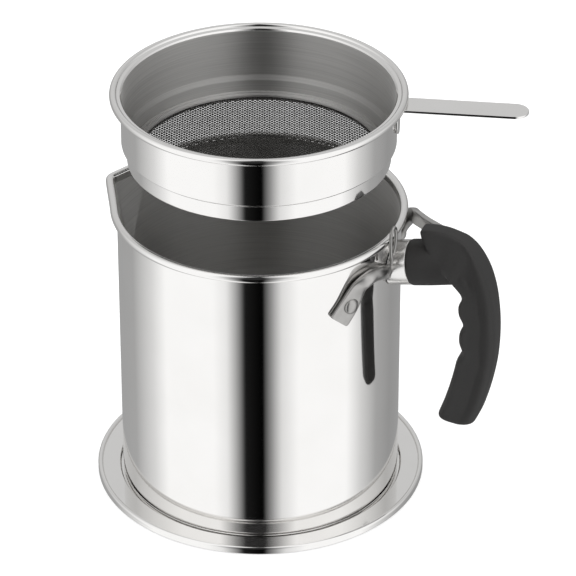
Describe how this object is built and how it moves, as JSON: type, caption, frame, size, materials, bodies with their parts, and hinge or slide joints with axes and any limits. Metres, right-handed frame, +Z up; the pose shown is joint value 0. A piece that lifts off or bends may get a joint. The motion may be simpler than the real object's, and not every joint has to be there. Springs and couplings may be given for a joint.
{
  "type": "grease pot with strainer",
  "caption": "Round steel pot for cooking fat with a pouring lip and a black side handle, a lift-out strainer with a flat strap, and a shallow tray under it.",
  "frame": {"origin": "centre of the tray's flat underside, on the surface that it stands on", "axes": "+Z up along the pot's axis, +X towards the handle, -X towards the pouring lip"},
  "size_m": [0.1877, 0.148, 0.1922],
  "materials": {
    "tray_steel": "mirror-polished stainless steel",
    "pot_steel": "mirror-polished outside, brushed inside",
    "ferrule_steel": "polished",
    "stud_steel": "plain turned steel",
    "insert_brass": "plain turned brass",
    "grip_bakelite": "fine matt moulded phenolic",
    "arm_steel": "brushed",
    "rivet_steel": "formed head, satin",
    "strainer_steel": "mirror-polished stainless steel",
    "mesh_wire": "woven fine steel wire",
    "strap_steel": "polished"
  },
  "bodies": {
    "tray": {"tray": "tray_steel"},
    "pot": {"pot_shell": "pot_steel", "handle_ferrule": "ferrule_steel", "tang_stud": "stud_steel", "grip_insert": "insert_brass", "handle_grip": "grip_bakelite", "front_arm": "arm_steel", "rear_arm": "arm_steel", "front_rivet": "rivet_steel", "rear_rivet": "rivet_steel", "rim_loop": "arm_steel"},
    "strainer": {"strainer_shell": "strainer_steel", "strainer_mesh": "mesh_wire", "mesh_ring": "strainer_steel", "strainer_handle": "strap_steel"}
  },
  "joints": [
    {"name": "pot_lift", "type": "slide", "parent": "tray", "child": "pot", "axis": [0, 0, 1], "range_m": [0, 0.08]},
    {"name": "strainer_lift", "type": "slide", "parent": "pot", "child": "strainer", "axis": [0, 0, 1], "range_m": [-0.051, 0.03]}
  ]
}
